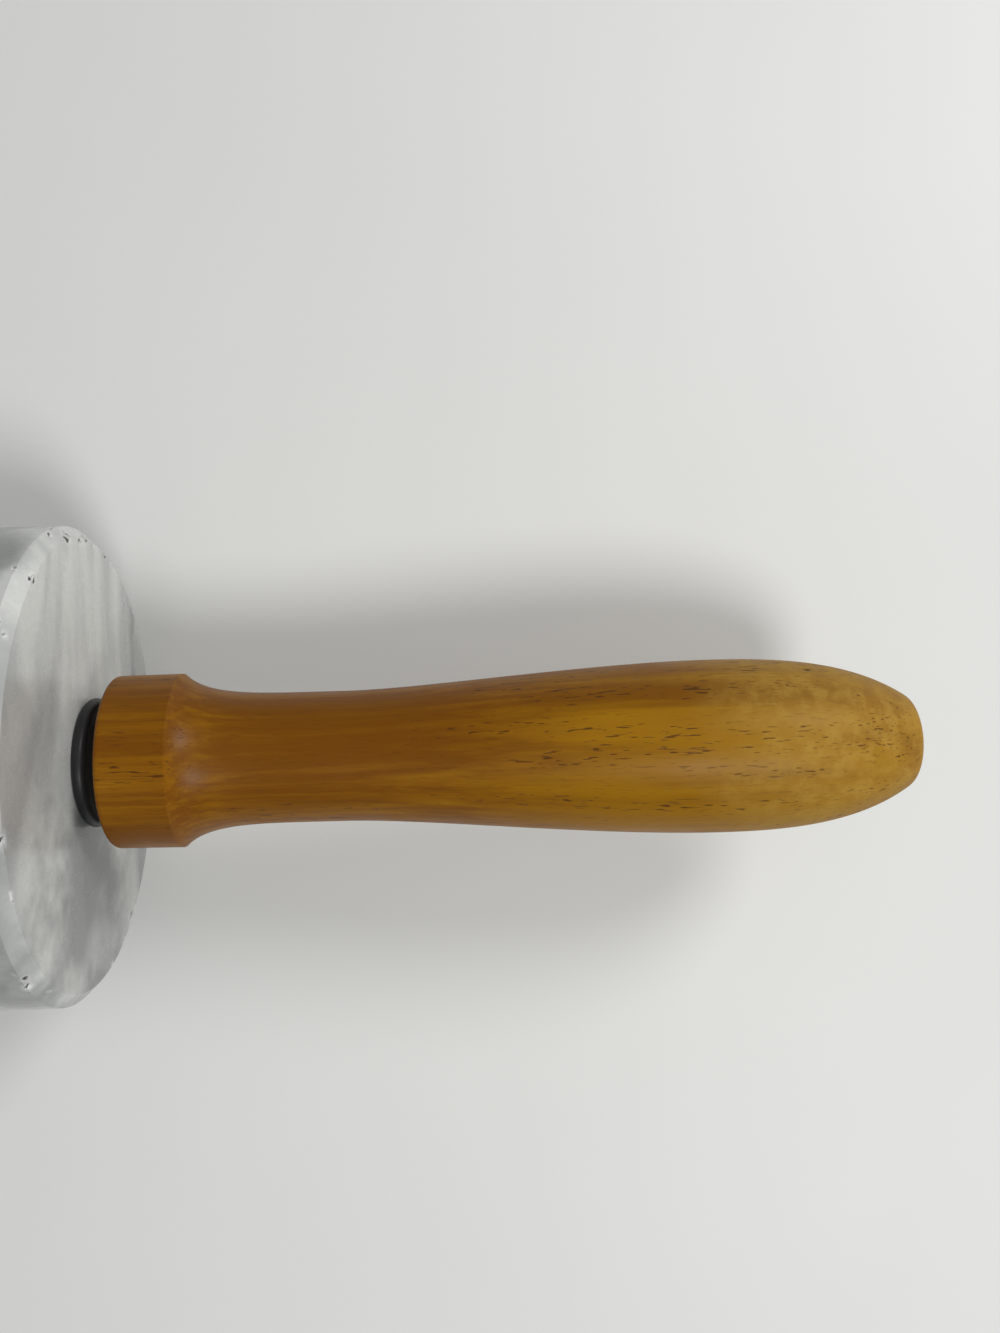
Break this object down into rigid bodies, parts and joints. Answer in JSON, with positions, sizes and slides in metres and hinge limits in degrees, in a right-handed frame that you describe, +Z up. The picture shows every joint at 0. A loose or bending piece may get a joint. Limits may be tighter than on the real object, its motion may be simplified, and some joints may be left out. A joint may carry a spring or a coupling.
{
  "type": "rolling pin",
  "caption": "Marble rolling pin: a heavy bevelled marble barrel that spins on a steel rod between turned, varnished wooden handles.",
  "frame": {"origin": "centre of the marble barrel, on the spin axis", "axes": "+X along the spin axis towards the right handle, +Z up, +Y away from a person who holds both handles"},
  "size_m": [0.4668, 0.06, 0.06],
  "materials": {
    "marble": "polished side, satin ends, soft grey veins",
    "black_plastic": "moulded, semi-gloss",
    "steel": "drawn bar",
    "brass": "turned",
    "varnished_wood": "amber varnish, worn at the end"
  },
  "bodies": {
    "handles": {"axle_rod": "steel", "thread_insert_right": "brass", "thread_insert_left": "brass", "handle_right": "varnished_wood", "handle_left": "varnished_wood"},
    "barrel": {"marble_barrel": "marble", "bushing_right": "black_plastic", "bushing_left": "black_plastic"}
  },
  "joints": [
    {"name": "barrel_spin", "type": "hinge", "parent": "handles", "child": "barrel", "pos_m": [0, 0, 0], "axis": [1, 0, 0], "continuous": true}
  ]
}
